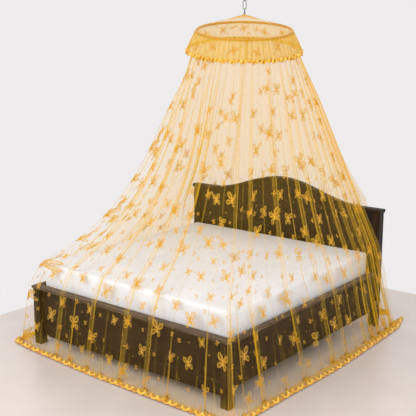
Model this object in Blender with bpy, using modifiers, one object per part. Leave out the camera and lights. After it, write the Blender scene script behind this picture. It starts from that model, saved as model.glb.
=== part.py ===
"""Round mosquito net canopy, hung from one ceiling hook over a wooden bed with a mattress.

Metres, +Z up.  Working places are given in the bed's own frame: X = 0 on the bed's centre
line, Y = 0 at the outer face of the footboard, Z = 0 on the floor.  An empty then carries
everything so that the origin lies on the floor, under the middle of the whole object.
"""
import math
from bisect import bisect_right

import bmesh
import bpy
from mathutils import Matrix, Vector

# ---------------------------------------------------------------- driving dimensions
SEAT_GAP = 0.0003            # pieces that touch keep this gap
SHEET = 0.0018               # thickness of every net or ribbon sheet, a little less at its folds

MATTRESS_WIDTH = 1.83
MATTRESS_LENGTH = 1.91
MATTRESS_THICKNESS = 0.22
MATTRESS_TOP = 0.653
MATTRESS_FOOT = 0.072        # distance of its foot face from the footboard's outer face
MATTRESS_ROUNDING = 0.035

FRAME_WIDTH = 1.94           # over the foot posts and the side rails
FRAME_TOP = 0.479            # top of the footboard's cap and of the side rails' caps
CAP_THICKNESS = 0.022
CAP_OVERHANG = 0.008
POST_SIZE = 0.07             # square bed posts
PANEL_THICKNESS = 0.024
FOOT_PANEL_SETBACK = 0.035   # front of the panel behind the front of the posts
FOOT_PANEL_BOTTOM = 0.165
FOOT_RAIL_BOTTOM = 0.068
RAIL_THICKNESS = 0.034
RAIL_BOTTOM = 0.14
BASE_THICKNESS = 0.018
WOOD_EDGE = 0.003            # eased edge of the timber

HEAD_WIDTH = 1.98            # over the head posts
HEAD_FRONT = 2.02            # front face of the head posts
SHOULDER_HEIGHT = 0.975      # underside of the crown moulding at the posts
CROWN_RISE = 0.165           # the moulding rises by this much to its middle
CROWN_THICKNESS = 0.032
CROWN_FLAT = 0.78            # half width over which the top rises
CROWN_STEPS = 28
HEAD_PANEL_BOTTOM = 0.20

HOOP_CENTRE = Vector((0.0, 1.469, 2.443))
HOOP_RADIUS = 0.384          # to the middle of the bound tube
HOOP_TUBE = 0.011
HOOP_TIP = math.radians(11.0)            # the hoop hangs tipped by this much
HOOP_TIP_TOWARDS = math.radians(-51.4)   # plan direction of its low side, from +X

ROOF_RISE = 0.124            # apex above the hoop's centre
ROOF_TOP_RADIUS = 0.007
ROOF_DIP = 0.003             # how far the stretched net hangs under the straight line
ROOF_GORES = 36

VALANCE_DROP = 0.134         # straight down from the hoop
VALANCE_FLARE = 0.058        # its lower edge stands this far outside the hoop tube
VALANCE_PLEATS = 48
VALANCE_PLEAT_DEPTH = 0.007
VALANCE_FRILL_WIDTH = 0.034
VALANCE_FRILL_RUFFLES = 64
VALANCE_FRILL_DEPTH = 0.011

HEM_FRILL_WIDTH = 0.036
HEM_FRILL_RUFFLE = 0.060     # length of one ruffle along the hem
HEM_FRILL_DEPTH = 0.026
HEM_FRILL_GAP = 0.0006       # inner edge outside the hem

CEILING = 2.80
PLATE_RADIUS = 0.036
PLATE_THICKNESS = 0.010
HOOK_WIRE = 0.0028
LINK_WIRE = 0.0030
FERRULE_RADIUS = 0.0085
FERRULE_HEIGHT = 0.030
EYE_RADIUS = 0.0085
EYE_WIRE = 0.0024
LINK_FACING = math.radians(38.6)         # plan turn of the lowest long link

# The route of the net at named places round the hoop.  turn: degrees round the hoop from +X.
# edge: where the net bends at mattress height.  side: where it bends at the bed frame.
# hem: where its edge lies on the floor.  sag: how far it hangs under the straight line.
ROUTE = (
    # turn  edge x, y, z              side x, y, z               hem x, y         sag
    (40,    (0.800, 2.135, 1.060),    (0.850, 2.200, 0.500),    (0.930, 2.385),  0.04),
    (65,    (0.450, 2.125, 1.180),    (0.480, 2.200, 0.500),    (0.480, 2.395),  0.04),
    (90,    (0.000, 2.122, 1.240),    (0.000, 2.200, 0.500),    (0.000, 2.395),  0.02),
    (115,   (-0.450, 2.125, 1.180),   (-0.480, 2.200, 0.500),   (-0.500, 2.395), 0.04),
    (138,   (-1.004, 2.106, 1.016),   (-1.030, 2.125, 0.500),   (-1.110, 2.350), 0.06),
    (147,   (-1.006, 2.004, 1.016),   (-1.035, 1.990, 0.500),   (-1.155, 2.120), 0.07),
    (160,   (-0.960, 1.780, 0.760),   (-0.996, 1.760, 0.495),   (-1.160, 1.780), 0.11),
    (180,   (-0.922, 1.350, 0.660),   (-0.985, 1.330, 0.487),   (-1.166, 1.300), 0.14),
    (205,   (-0.922, 0.800, 0.660),   (-0.985, 0.780, 0.487),   (-1.155, 0.750), 0.18),
    (225,   (-0.921, 0.330, 0.658),   (-0.985, 0.280, 0.487),   (-1.130, 0.250), 0.23),
    (237,   (-0.919, 0.064, 0.658),   (-0.984, -0.014, 0.487),  (-1.100, -0.060), 0.24),
    (248,   (-0.550, 0.064, 0.659),   (-0.560, -0.015, 0.487),  (-0.600, -0.120), 0.19),
    (270,   (0.000, 0.063, 0.660),    (0.000, -0.015, 0.487),   (0.000, -0.150), 0.17),
    (290,   (0.520, 0.063, 0.660),    (0.540, -0.015, 0.487),   (0.580, -0.154), 0.20),
    (303,   (0.919, 0.064, 0.659),    (0.984, -0.014, 0.487),   (1.105, -0.130), 0.23),
    (320,   (0.922, 0.420, 0.660),    (0.985, 0.420, 0.487),    (1.135, 0.420),  0.16),
    (345,   (0.930, 1.100, 0.660),    (0.986, 1.100, 0.487),    (1.166, 1.100),  0.06),
    (370,   (0.950, 1.620, 0.680),    (0.992, 1.640, 0.487),    (1.150, 1.680),  0.02),
    (388,   (0.965, 1.900, 0.720),    (1.006, 1.930, 0.487),    (1.135, 2.060),  0.01),
    (400,   (1.003, 2.006, 0.715),    (1.028, 2.095, 0.450),    (1.060, 2.350),  0.00),
)

# The main folds of the net, as they stand out round it.  turn: degrees round the hoop.
# width: of the whole fold on the floor side.  depth: how far it stands out there.
FOLDS = (
    # turn   width  depth
    (46,     0.070, 0.022),
    (58,     0.060, 0.016),
    (70,     0.080, 0.026),
    (83,     0.060, 0.018),
    (96,     0.075, 0.024),
    (108,    0.060, 0.016),
    (121,    0.080, 0.025),
    (130,    0.060, 0.018),
    (138,    0.070, 0.020),
    (147,    0.070, 0.020),
    (155,    0.060, 0.022),
    (163,    0.060, 0.016),
    (172,    0.080, 0.024),
    (184,    0.065, 0.018),
    (197,    0.080, 0.026),
    (210,    0.060, 0.018),
    (221,    0.070, 0.022),
    (231,    0.050, 0.016),
    (237,    0.060, 0.018),
    (241.5,  0.050, 0.018),
    (247,    0.070, 0.026),
    (252,    0.045, 0.014),
    (259.5,  0.070, 0.028),
    (266,    0.050, 0.016),
    (273,    0.060, 0.024),
    (282,    0.080, 0.030),
    (289,    0.045, 0.014),
    (296.5,  0.060, 0.020),
    (303,    0.075, 0.030),
    (309,    0.050, 0.018),
    (315,    0.070, 0.028),
    (323,    0.045, 0.016),
    (331,    0.080, 0.030),
    (339,    0.055, 0.018),
    (346,    0.060, 0.024),
    (354,    0.070, 0.028),
    (361,    0.055, 0.020),
    (368,    0.070, 0.028),
    (375,    0.060, 0.022),
    (381.5,  0.065, 0.028),
    (387.5,  0.060, 0.024),
    (393.5,  0.060, 0.028),
)

# Steps down the net.  part: 0 hoop to edge, 1 edge to side, 2 side to floor, 3 floor to hem.
# along: how far along that part.  width, depth: share of a fold's width and depth there.
STEPS = (
    # part  along  width  depth
    (0,     0.00,  0.22,  0.22),
    (0,     0.08,  0.24,  0.26),
    (0,     0.17,  0.28,  0.36),
    (0,     0.30,  0.37,  0.56),
    (0,     0.45,  0.50,  0.80),
    (0,     0.62,  0.64,  0.95),
    (0,     0.80,  0.76,  0.80),
    (0,     1.00,  0.82,  0.30),
    (1,     0.50,  0.84,  0.50),
    (1,     1.00,  0.86,  0.35),
    (2,     0.33,  0.90,  0.85),
    (2,     0.68,  0.96,  1.00),
    (2,     1.00,  1.00,  0.70),
    (3,     0.50,  1.05,  0.40),
    (3,     1.00,  1.10,  0.00),
)
SAG_PEAK = 0.186             # greatest value of along ** 1.5 * (1 - along)
TOP_SLOPE = 0.25             # the net leaves the hoop at this slope, out over down, at most
TUCK_END = 0.35              # and has caught up with its way to the bed here along it
FALL_OUT = (0.0, 0.17, 0.38, 0.62)       # how far out towards the hem the net falls, by thirds
MIN_FOLD_STEP = 4.0                      # a wider flat stretch between folds gets one more line

FINISHES = {
    # kind:    (red, green, blue), roughness, metallic
    "net":     ((0.83, 0.60, 0.16), 0.85, 0.0),
    "ribbon":  ((0.80, 0.47, 0.04), 0.60, 0.0),
    "steel":   ((0.42, 0.40, 0.38), 0.35, 1.0),
    "timber":  ((0.075, 0.045, 0.028), 0.50, 0.0),
    "ticking": ((0.88, 0.88, 0.88), 0.90, 0.0),
}


# ---------------------------------------------------------------- scene set-up and helpers
def clear_scene():
    for obj in list(bpy.data.objects):
        bpy.data.objects.remove(obj, do_unlink=True)


def make_collection(name):
    collection = bpy.data.collections.new(name)
    bpy.context.scene.collection.children.link(collection)
    return collection


def make_material(name, kind):
    colour, roughness, metallic = FINISHES[kind]
    material = bpy.data.materials.new(name)
    material.use_nodes = True
    shader = material.node_tree.nodes["Principled BSDF"]
    shader.inputs["Base Color"].default_value = (*colour, 1.0)
    shader.inputs["Roughness"].default_value = roughness
    shader.inputs["Metallic"].default_value = metallic
    material.diffuse_color = (*colour, 1.0)
    return material


def add_object(name, data, kind, location=(0, 0, 0)):
    """Put mesh or curve data into the object's collection under the root empty."""
    obj = bpy.data.objects.new(name, data)
    PARTS.objects.link(obj)
    obj.parent = ROOT
    obj.location = location
    obj.data.materials.append(make_material(name, kind))
    return obj


def add_bevel(obj, width, segments=1):
    bevel = obj.modifiers.new("eased edges", "BEVEL")
    bevel.width = width
    bevel.segments = segments
    bevel.limit_method = "ANGLE"


def add_sheet_thickness(obj):
    """Turn an open surface into cloth; its outer face stays where the surface is."""
    solidify = obj.modifiers.new("cloth", "SOLIDIFY")
    solidify.thickness = SHEET
    solidify.offset = -1.0


def box(name, low, high, kind, bevel=WOOD_EDGE, segments=1):
    size = Vector(high) - Vector(low)
    mesh = bpy.data.meshes.new(name)
    work = bmesh.new()
    bmesh.ops.create_cube(work, size=1.0)
    bmesh.ops.scale(work, vec=size, verts=work.verts)
    work.to_mesh(mesh)
    work.free()
    obj = add_object(name, mesh, kind, (Vector(low) + Vector(high)) / 2)
    add_bevel(obj, bevel, segments)
    return obj


def lofted_mesh(name, rows, closed):
    """Skin a grid of points: rows run downwards, points in a row run anticlockwise."""
    mesh = bpy.data.meshes.new(name)
    work = bmesh.new()
    grid = [[work.verts.new(point) for point in row] for row in rows]
    columns = len(rows[0])
    for upper, lower in zip(grid, grid[1:]):
        for i in range(columns if closed else columns - 1):
            j = (i + 1) % columns
            work.faces.new((upper[i], lower[i], lower[j], upper[j]))
    work.to_mesh(mesh)
    work.free()
    mesh.shade_smooth()
    mesh.set_sharp_from_angle(angle=math.radians(40))
    return mesh


def flat_outline(name, points, thickness, kind, location):
    """A board cut to an outline in X and Z, standing up, thickness along Y."""
    curve = bpy.data.curves.new(name, "CURVE")
    curve.dimensions = "2D"
    curve.fill_mode = "BOTH"
    curve.extrude = thickness / 2
    spline = curve.splines.new("POLY")
    spline.points.add(len(points) - 1)
    for knot, (x, z) in zip(spline.points, points):
        knot.co = (x, z, 0.0, 1.0)
    spline.use_cyclic_u = True
    obj = add_object(name, curve, kind, location)
    obj.rotation_euler = (math.pi / 2, 0, 0)
    return obj


def wire(name, points, radius, kind, cyclic, location=(0, 0, 0), turn=0.0):
    curve = bpy.data.curves.new(name, "CURVE")
    curve.dimensions = "3D"
    curve.bevel_depth = radius
    curve.bevel_resolution = 2
    curve.use_fill_caps = True
    spline = curve.splines.new("POLY")
    spline.points.add(len(points) - 1)
    for knot, point in zip(spline.points, points):
        knot.co = (*point, 1.0)
    spline.use_cyclic_u = cyclic
    obj = add_object(name, curve, kind, location)
    obj.rotation_euler = (0, 0, turn)
    return obj


# ---------------------------------------------------------------- the bed
def make_mattress():
    half = MATTRESS_WIDTH / 2
    low = (-half, MATTRESS_FOOT, MATTRESS_TOP - MATTRESS_THICKNESS)
    high = (half, MATTRESS_FOOT + MATTRESS_LENGTH, MATTRESS_TOP)
    mattress = box("mattress", low, high, "ticking", MATTRESS_ROUNDING, segments=3)
    mattress.data.shade_smooth()


def make_base():
    top = MATTRESS_TOP - MATTRESS_THICKNESS - SEAT_GAP
    half = FRAME_WIDTH / 2 - RAIL_THICKNESS - SEAT_GAP
    low = (-half, POST_SIZE + SEAT_GAP, top - BASE_THICKNESS)
    box("base_board", low, (half, HEAD_FRONT - SEAT_GAP, top), "timber", 0.002)


def make_footboard():
    half = FRAME_WIDTH / 2
    under_cap = FRAME_TOP - CAP_THICKNESS - SEAT_GAP
    inner = half - POST_SIZE - SEAT_GAP
    front = FOOT_PANEL_SETBACK
    for side, name in ((-1, "foot_post_left"), (1, "foot_post_right")):
        xs = sorted((side * half, side * (half - POST_SIZE)))
        box(name, (xs[0], 0, 0), (xs[1], POST_SIZE, under_cap), "timber")
    box("footboard_panel", (-inner, front, FOOT_PANEL_BOTTOM),
        (inner, front + PANEL_THICKNESS, under_cap), "timber")
    box("footboard_rail", (-inner, front - 0.004, FOOT_RAIL_BOTTOM),
        (inner, front + PANEL_THICKNESS, FOOT_PANEL_BOTTOM - SEAT_GAP), "timber", 0.004)
    box("footboard_cap", (-half - CAP_OVERHANG, -CAP_OVERHANG, FRAME_TOP - CAP_THICKNESS),
        (half + CAP_OVERHANG, POST_SIZE - CAP_OVERHANG, FRAME_TOP), "timber", 0.005, segments=2)


def make_side_rails():
    half = FRAME_WIDTH / 2
    start = POST_SIZE + SEAT_GAP
    for side, name in ((-1, "left"), (1, "right")):
        xs = sorted((side * half, side * (half - RAIL_THICKNESS)))
        box(f"side_rail_{name}", (xs[0], start, RAIL_BOTTOM),
            (xs[1], HEAD_FRONT - SEAT_GAP, FRAME_TOP - CAP_THICKNESS - SEAT_GAP), "timber")
        xs = sorted((side * (half + CAP_OVERHANG), side * (half - RAIL_THICKNESS)))
        box(f"side_rail_cap_{name}", (xs[0], start, FRAME_TOP - CAP_THICKNESS),
            (xs[1], HEAD_FRONT - SEAT_GAP, FRAME_TOP), "timber", 0.005, segments=2)


def evenly(first, last, steps):
    return [first + (last - first) * i / steps for i in range(steps + 1)]


def crown_height(x):
    """Underside of the crown moulding: flat shoulders and one smooth rise between them."""
    share = min(abs(x) / CROWN_FLAT, 1.0)
    return SHOULDER_HEIGHT + CROWN_RISE * (1 + math.cos(math.pi * share)) / 2


def make_headboard():
    half = HEAD_WIDTH / 2
    for side, name in ((-1, "head_post_left"), (1, "head_post_right")):
        xs = sorted((side * half, side * (half - POST_SIZE)))
        box(name, (xs[0], HEAD_FRONT, 0),
            (xs[1], HEAD_FRONT + POST_SIZE, SHOULDER_HEIGHT - SEAT_GAP), "timber")
    inner = half - POST_SIZE - SEAT_GAP
    middle = HEAD_FRONT + POST_SIZE / 2
    reach = half + CAP_OVERHANG
    top = [(x, crown_height(x)) for x in evenly(reach, -reach, CROWN_STEPS)]
    shoulder = SHOULDER_HEIGHT - SEAT_GAP
    panel = [(-inner, HEAD_PANEL_BOTTOM), (inner, HEAD_PANEL_BOTTOM), (inner, shoulder)]
    panel += [(x, z - SEAT_GAP) for x, z in top if abs(x) < inner]
    panel.append((-inner, shoulder))
    flat_outline("headboard_panel", panel, PANEL_THICKNESS, "timber", (0, middle, 0))
    crown = top[::-1] + [(x, z + CROWN_THICKNESS) for x, z in top]
    flat_outline("headboard_crown", crown, POST_SIZE + 2 * CAP_OVERHANG, "timber", (0, middle, 0))


# ---------------------------------------------------------------- hoop, roof and valance
def hoop_frame():
    """World placing of the tipped hoop: its own Z is its axis, its low side towards the foot."""
    axis = Vector((-math.sin(HOOP_TIP_TOWARDS), math.cos(HOOP_TIP_TOWARDS), 0))
    return Matrix.Translation(HOOP_CENTRE) @ Matrix.Rotation(HOOP_TIP, 4, axis)


def on_hoop(turn, radius, height):
    """A point at a turn round the tipped hoop, a radius from its axis and a height along it."""
    return hoop_frame() @ Vector((radius * math.cos(turn), radius * math.sin(turn), height))


def make_hoop():
    bpy.ops.mesh.primitive_torus_add(
        major_radius=HOOP_RADIUS, minor_radius=HOOP_TUBE, major_segments=40, minor_segments=8)
    made = bpy.context.object
    mesh = made.data
    bpy.data.objects.remove(made)
    mesh.shade_smooth()
    hoop = add_object("hoop", mesh, "ribbon")
    hoop.matrix_local = hoop_frame()


def make_roof():
    """The net roof: a low tent from the hoop's upper side to the ferrule at the apex."""
    seat = HOOP_TUBE + SHEET + SEAT_GAP
    apex = HOOP_CENTRE + Vector((0, 0, ROOF_RISE))
    rows = []
    for share in (0.0, 0.15, 0.5, 1.0):
        row = []
        for i in range(ROOF_GORES):
            turn = 2 * math.pi * i / ROOF_GORES
            top = apex + ROOF_TOP_RADIUS * Vector((math.cos(turn), math.sin(turn), 0))
            rim = on_hoop(turn, HOOP_RADIUS, seat)
            point = top.lerp(rim, share)
            point.z -= ROOF_DIP * 4 * share * (1 - share)
            row.append(point)
        rows.append(row)
    roof = add_object("roof_net", lofted_mesh("roof_net", rows, closed=True), "net")
    add_sheet_thickness(roof)


def valance_radius(share):
    """Radius of the valance down its drop, from the outer side of the hoop tube."""
    start = HOOP_RADIUS + HOOP_TUBE + SHEET + SEAT_GAP
    return start + VALANCE_FLARE * share


def make_valance():
    count = VALANCE_PLEATS * 2
    rows = []
    for share in (0.0, 0.45, 1.0):
        depth = VALANCE_PLEAT_DEPTH * (0.05 + 0.95 * share)
        row = []
        for i in range(count):
            turn = 2 * math.pi * i / count
            radius = valance_radius(share) + (depth if i % 2 else 0.0)
            row.append(on_hoop(turn, radius, 0) - Vector((0, 0, VALANCE_DROP * share)))
        rows.append(row)
    valance = add_object("valance", lofted_mesh("valance", rows, closed=True), "net")
    add_sheet_thickness(valance)


def make_valance_frill():
    """The ruffled ribbon under the valance's lower edge, one closed ring."""
    count = VALANCE_FRILL_RUFFLES * 3
    wave = (-0.6, 0.1, 1.0)
    top = Vector((0, 0, -VALANCE_DROP - 0.4 * SHEET - SEAT_GAP))
    bottom = top - Vector((0, 0, VALANCE_FRILL_WIDTH))
    upper, lower = [], []
    for i in range(count):
        turn = 2 * math.pi * i / count
        radius = valance_radius(1.0) + VALANCE_PLEAT_DEPTH / 2
        swing = VALANCE_FRILL_DEPTH * wave[i % 3] * (1 + 0.3 * math.sin(7 * turn))
        upper.append(on_hoop(turn, radius + 0.15 * swing, 0) + top)
        lower.append(on_hoop(turn, radius + 0.006 + swing, 0) + bottom)
    mesh = lofted_mesh("valance_frill", (upper, lower), closed=True)
    frill = add_object("valance_frill", mesh, "ribbon")
    add_sheet_thickness(frill)


# ---------------------------------------------------------------- the net's skirt
def monotone_slopes(places, values):
    """Slopes of a curve through the values that never swings past them."""
    secants = [(b - a) / (q - p) for a, b, p, q in zip(values, values[1:], places, places[1:])]
    slopes = [secants[0]]
    for left, right in zip(secants, secants[1:]):
        same_way = left * right > 0
        slopes.append(2 * left * right / (left + right) if same_way else 0.0)
    slopes.append(secants[-1])
    return slopes


def make_track(values):
    """A smooth function of the turn through one value for each row of ROUTE."""
    places = [row[0] for row in ROUTE]
    slopes = monotone_slopes(places, values)

    def track(turn):
        i = min(max(bisect_right(places, turn) - 1, 0), len(places) - 2)
        width = places[i + 1] - places[i]
        s = (turn - places[i]) / width
        keep, pull = 2 * s ** 3 - 3 * s ** 2, s ** 3 - 2 * s ** 2 + s
        return (values[i] * (1 + keep) - values[i + 1] * keep
                + width * (slopes[i] * pull + slopes[i + 1] * (s ** 3 - s ** 2)))

    return track


EDGE_TRACKS = [make_track([row[1][k] for row in ROUTE]) for k in range(3)]
SIDE_TRACKS = [make_track([row[2][k] for row in ROUTE]) for k in range(3)]
HEM_TRACKS = [make_track([row[3][k] for row in ROUTE]) for k in range(2)]
SAG_TRACK = make_track([row[4] for row in ROUTE])
FLOOR_LEVEL = SHEET + 0.0004             # outer face of the net where it lies on the floor


def along_net(turn, part, along):
    """A point of the smooth net, before its folds, at a turn and a step down it."""
    edge = Vector([track(turn) for track in EDGE_TRACKS])
    side = Vector([track(turn) for track in SIDE_TRACKS])
    hem = Vector((*[track(turn) for track in HEM_TRACKS], FLOOR_LEVEL))
    if part == 0:
        start = on_hoop(math.radians(turn), HOOP_RADIUS, -HOOP_TUBE - SEAT_GAP)
        run = edge - start
        outward = Vector((run.x, run.y, 0)).normalized()
        hang = Vector((0, 0, -1)) * outward.dot(run) / run.length + outward * run.z / run.length
        sag = SAG_TRACK(turn) * along ** 1.5 * (1 - along) / SAG_PEAK
        too_flat = max(outward.dot(run) + TOP_SLOPE * run.z, 0)
        tuck = too_flat * along * max(1 - along / TUCK_END, 0) ** 2
        return start + run * along + hang * sag - outward * tuck
    if part == 1:
        return side * along + edge * (1 - along)
    if part == 2:
        out = interpolate(FALL_OUT, along)
        point = side.lerp(hem, out)
        point.z = side.z + (FLOOR_LEVEL - side.z) * along
        return point
    start = side.lerp(hem, FALL_OUT[-1])
    start.z = FLOOR_LEVEL
    return start.lerp(hem, along)


def interpolate(values, share):
    """Straight-line reading of evenly spaced values."""
    place = share * (len(values) - 1)
    i = min(int(place), len(values) - 2)
    return values[i] + (values[i + 1] - values[i]) * (place - i)


def outward_normal(turn, part, along):
    """Direction in which a fold stands out of the smooth net; level with the hoop at its top."""
    if part == 0 and along == 0:
        angle = math.radians(turn)
        return (on_hoop(angle, 1.0, 0.0) - HOOP_CENTRE).normalized()
    nudge = 0.02
    before = max(along - nudge, 0.0)
    down = along_net(turn, part, before + nudge) - along_net(turn, part, before)
    round_it = along_net(turn + 0.5, part, along) - along_net(turn - 0.5, part, along)
    return down.cross(round_it).normalized()


def fold_lines():
    """Columns of the net: (turn of the fold, side of the fold, depth, width)."""
    columns = []
    turns = [row[0] for row in FOLDS]
    first, last = ROUTE[0][0], ROUTE[-1][0]
    columns.append((first, 0, 0.0, 0.0))
    for i, (turn, width, depth) in enumerate(FOLDS):
        columns += [(turn, -1, 0.0, width), (turn, 0, depth, width), (turn, 1, 0.0, width)]
        following = turns[i + 1] if i + 1 < len(turns) else last
        if following - turn > 2 * MIN_FOLD_STEP:
            columns.append(((turn + following) / 2, 0, 0.0, 0.0))
    columns.append((last, 0, 0.0, 0.0))
    return columns


def degrees_for(turn, part, along, length):
    """How many degrees round the net a length takes up at a step."""
    step = along_net(turn + 1, part, along) - along_net(turn - 1, part, along)
    return min(2.0 * length / max(step.length, 0.004), 2.1)


def skirt_rows():
    rows = []
    for part, along, width_share, depth_share in STEPS:
        row = []
        for turn, side, depth, width in fold_lines():
            spread = degrees_for(turn, part, along, width * width_share / 2) if side else 0.0
            here = turn + side * spread
            point = along_net(here, part, along)
            if depth:
                point = point + outward_normal(here, part, along) * depth * depth_share
            row.append(point)
        rows.append(row)
    return rows


def make_skirt():
    """The whole net below the hoop, one sheet from one side of the slit round to the other."""
    skirt = add_object("net_skirt", lofted_mesh("net_skirt", skirt_rows(), closed=False), "net")
    add_sheet_thickness(skirt)


def hem_line():
    """Points along the net's floor edge, each with its outward direction in plan."""
    edge = skirt_rows()[-1]
    points = []
    for a, b in zip(edge, edge[1:]):
        count = max(round((b - a).length / (HEM_FRILL_RUFFLE / 2)), 1)
        points += [a.lerp(b, i / count) for i in range(count)]
    points.append(edge[-1])
    line = []
    for before, point, after in zip(points[:1] + points, points, points[1:] + points[-1:]):
        along = (after - before).normalized()
        line.append((point, Vector((along.y, -along.x, 0))))
    return line


def make_hem_frill():
    """The ruffled ribbon round the hem, lying on the floor just outside it."""
    inner, outer = [], []
    for k, (point, outward) in enumerate(hem_line()):
        crest = k % 2
        lift = crest * HEM_FRILL_DEPTH * (1 + 0.35 * math.sin(0.37 * k))
        base = Vector((point.x, point.y, FLOOR_LEVEL))
        inner.append(base + outward * HEM_FRILL_GAP + Vector((0, 0, 0.25 * lift)))
        reach = HEM_FRILL_WIDTH * (1.0 - 0.12 * crest)
        outer.append(base + outward * reach + Vector((0, 0, 0.8 * lift)))
    frill = add_object("hem_frill", lofted_mesh("hem_frill", (inner, outer), closed=False), "ribbon")
    add_sheet_thickness(frill)


# ---------------------------------------------------------------- what the hoop hangs from
def oval_points(height, width, radius):
    """Middle line of an oval link standing in X and Z, as wide and high outside as given."""
    bend = width / 2 - radius
    straight = height / 2 - width / 2
    points = []
    for centre, start in ((straight, 0.0), (-straight, math.pi)):
        for i in range(7):
            turn = start + math.pi * i / 6
            points.append((bend * math.cos(turn), 0.0, centre + bend * math.sin(turn)))
    return points


def make_hanger():
    """Ceiling plate, hook, links and the ferrule that holds the top of the roof."""
    x, y = HOOP_CENTRE.x, HOOP_CENTRE.y
    bottom = HOOP_CENTRE.z + ROOF_RISE + SEAT_GAP

    body = bpy.data.meshes.new("ferrule")
    work = bmesh.new()
    bmesh.ops.create_cone(work, cap_ends=True, segments=16, radius1=FERRULE_RADIUS,
                          radius2=FERRULE_RADIUS * 0.7, depth=FERRULE_HEIGHT)
    work.to_mesh(body)
    work.free()
    ferrule = add_object("ferrule", body, "steel", (x, y, bottom + FERRULE_HEIGHT / 2))
    bpy.ops.mesh.primitive_torus_add(
        major_radius=EYE_RADIUS, minor_radius=EYE_WIRE, major_segments=16, minor_segments=6)
    eye = bpy.context.object
    eye.name = "ferrule_eye"
    eye.rotation_euler = (math.pi / 2, 0, LINK_FACING + math.pi / 2)
    eye_height = bottom + FERRULE_HEIGHT + EYE_RADIUS * 0.85
    eye.location = (x, y, eye_height)
    eye.parent = ROOT
    eye.hide_render = True
    eye.display_type = "WIRE"
    for owner in list(eye.users_collection):
        owner.objects.unlink(eye)
    CUTTERS.objects.link(eye)
    join = ferrule.modifiers.new("eye", "BOOLEAN")
    join.operation = "UNION"
    join.solver = "EXACT"
    join.object = eye

    eye_top = eye_height + EYE_RADIUS - EYE_WIRE
    hang = eye_top
    links = (("chain_link_lower", 0.078, 0.030, 0.0), ("chain_link_upper", 0.052, 0.024, 1.0))
    for name, height, width, quarter in links:
        low = hang - SEAT_GAP - 2 * LINK_WIRE
        turn = LINK_FACING + quarter * math.pi / 2
        wire(name, oval_points(height, width, LINK_WIRE), LINK_WIRE, "steel", True,
             (x, y, low + height / 2), turn)
        hang = low + height - 2 * LINK_WIRE

    plate_under = CEILING - PLATE_THICKNESS
    mesh = bpy.data.meshes.new("ceiling_plate")
    work = bmesh.new()
    bmesh.ops.create_cone(work, cap_ends=True, segments=32, radius1=PLATE_RADIUS * 0.8,
                          radius2=PLATE_RADIUS, depth=PLATE_THICKNESS)
    work.to_mesh(mesh)
    work.free()
    add_object("ceiling_plate", mesh, "steel", (x, y, plate_under + PLATE_THICKNESS / 2))

    bend = 0.011
    bowl = hang - SEAT_GAP - HOOK_WIRE + bend
    points = [(0, 0, plate_under - SEAT_GAP), (0, 0, bowl + 2.2 * bend)]
    for i in range(10):
        turn = math.radians(70 - 28 * i)
        points.append((bend * math.cos(turn), 0, bowl + bend * math.sin(turn)))
    wire("ceiling_hook", points, HOOK_WIRE, "steel", False, (x, y, 0), LINK_FACING)


# ---------------------------------------------------------------- build
def centre_origin():
    """Shift the root so that the origin is on the floor under the middle of the object."""
    bpy.context.view_layer.update()
    depsgraph = bpy.context.evaluated_depsgraph_get()
    frill = bpy.data.objects["hem_frill"].evaluated_get(depsgraph)
    points = [frill.matrix_world @ vert.co for vert in frill.data.vertices]
    for axis in (0, 1):
        values = [point[axis] for point in points]
        ROOT.location[axis] = -(min(values) + max(values)) / 2


clear_scene()
PARTS = make_collection("mosquito_net_canopy")
CUTTERS = make_collection("cutters")
ROOT = bpy.data.objects.new("canopy_root", None)
PARTS.objects.link(ROOT)

make_mattress()
make_base()
make_footboard()
make_side_rails()
make_headboard()
make_hoop()
make_roof()
make_valance()
make_valance_frill()
make_skirt()
make_hem_frill()
make_hanger()
centre_origin()
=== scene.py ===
import math
from itertools import product

import bpy
import numpy as np
from mathutils import Matrix, Vector


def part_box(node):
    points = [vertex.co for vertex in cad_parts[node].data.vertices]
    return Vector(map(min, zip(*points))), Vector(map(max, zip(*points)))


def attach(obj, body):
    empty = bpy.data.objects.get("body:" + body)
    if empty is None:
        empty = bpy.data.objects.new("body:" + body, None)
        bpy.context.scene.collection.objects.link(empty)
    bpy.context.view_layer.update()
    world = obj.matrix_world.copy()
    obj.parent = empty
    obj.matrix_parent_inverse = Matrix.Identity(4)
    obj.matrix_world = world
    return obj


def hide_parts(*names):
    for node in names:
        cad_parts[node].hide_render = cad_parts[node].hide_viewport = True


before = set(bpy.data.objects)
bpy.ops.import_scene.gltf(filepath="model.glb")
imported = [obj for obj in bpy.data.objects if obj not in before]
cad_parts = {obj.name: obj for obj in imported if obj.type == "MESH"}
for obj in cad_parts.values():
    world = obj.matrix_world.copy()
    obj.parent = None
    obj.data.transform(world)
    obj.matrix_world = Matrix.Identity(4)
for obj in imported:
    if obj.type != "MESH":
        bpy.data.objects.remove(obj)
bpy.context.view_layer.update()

mattressLow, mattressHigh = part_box("mattress")
mattressFoot = 0.072                     # the mattress starts this far behind the footboard's face
bedShift = Vector(((mattressLow.x + mattressHigh.x) / 2, mattressLow.y - mattressFoot, 0))


# small helpers
def makeActive(piece):
    bpy.ops.object.select_all(action="DESELECT")
    piece.select_set(True)
    bpy.context.view_layer.objects.active = piece


def turnFacesOut(piece):
    makeActive(piece)
    bpy.ops.object.mode_set(mode="EDIT")
    bpy.ops.mesh.select_all(action="SELECT")
    bpy.ops.mesh.remove_doubles(threshold=0.00005)
    bpy.ops.mesh.normals_make_consistent(inside=False)
    bpy.ops.object.mode_set(mode="OBJECT")


def addToScene(name, data):
    thing = bpy.data.objects.new(name, data)
    bpy.context.scene.collection.objects.link(thing)
    return thing


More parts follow.
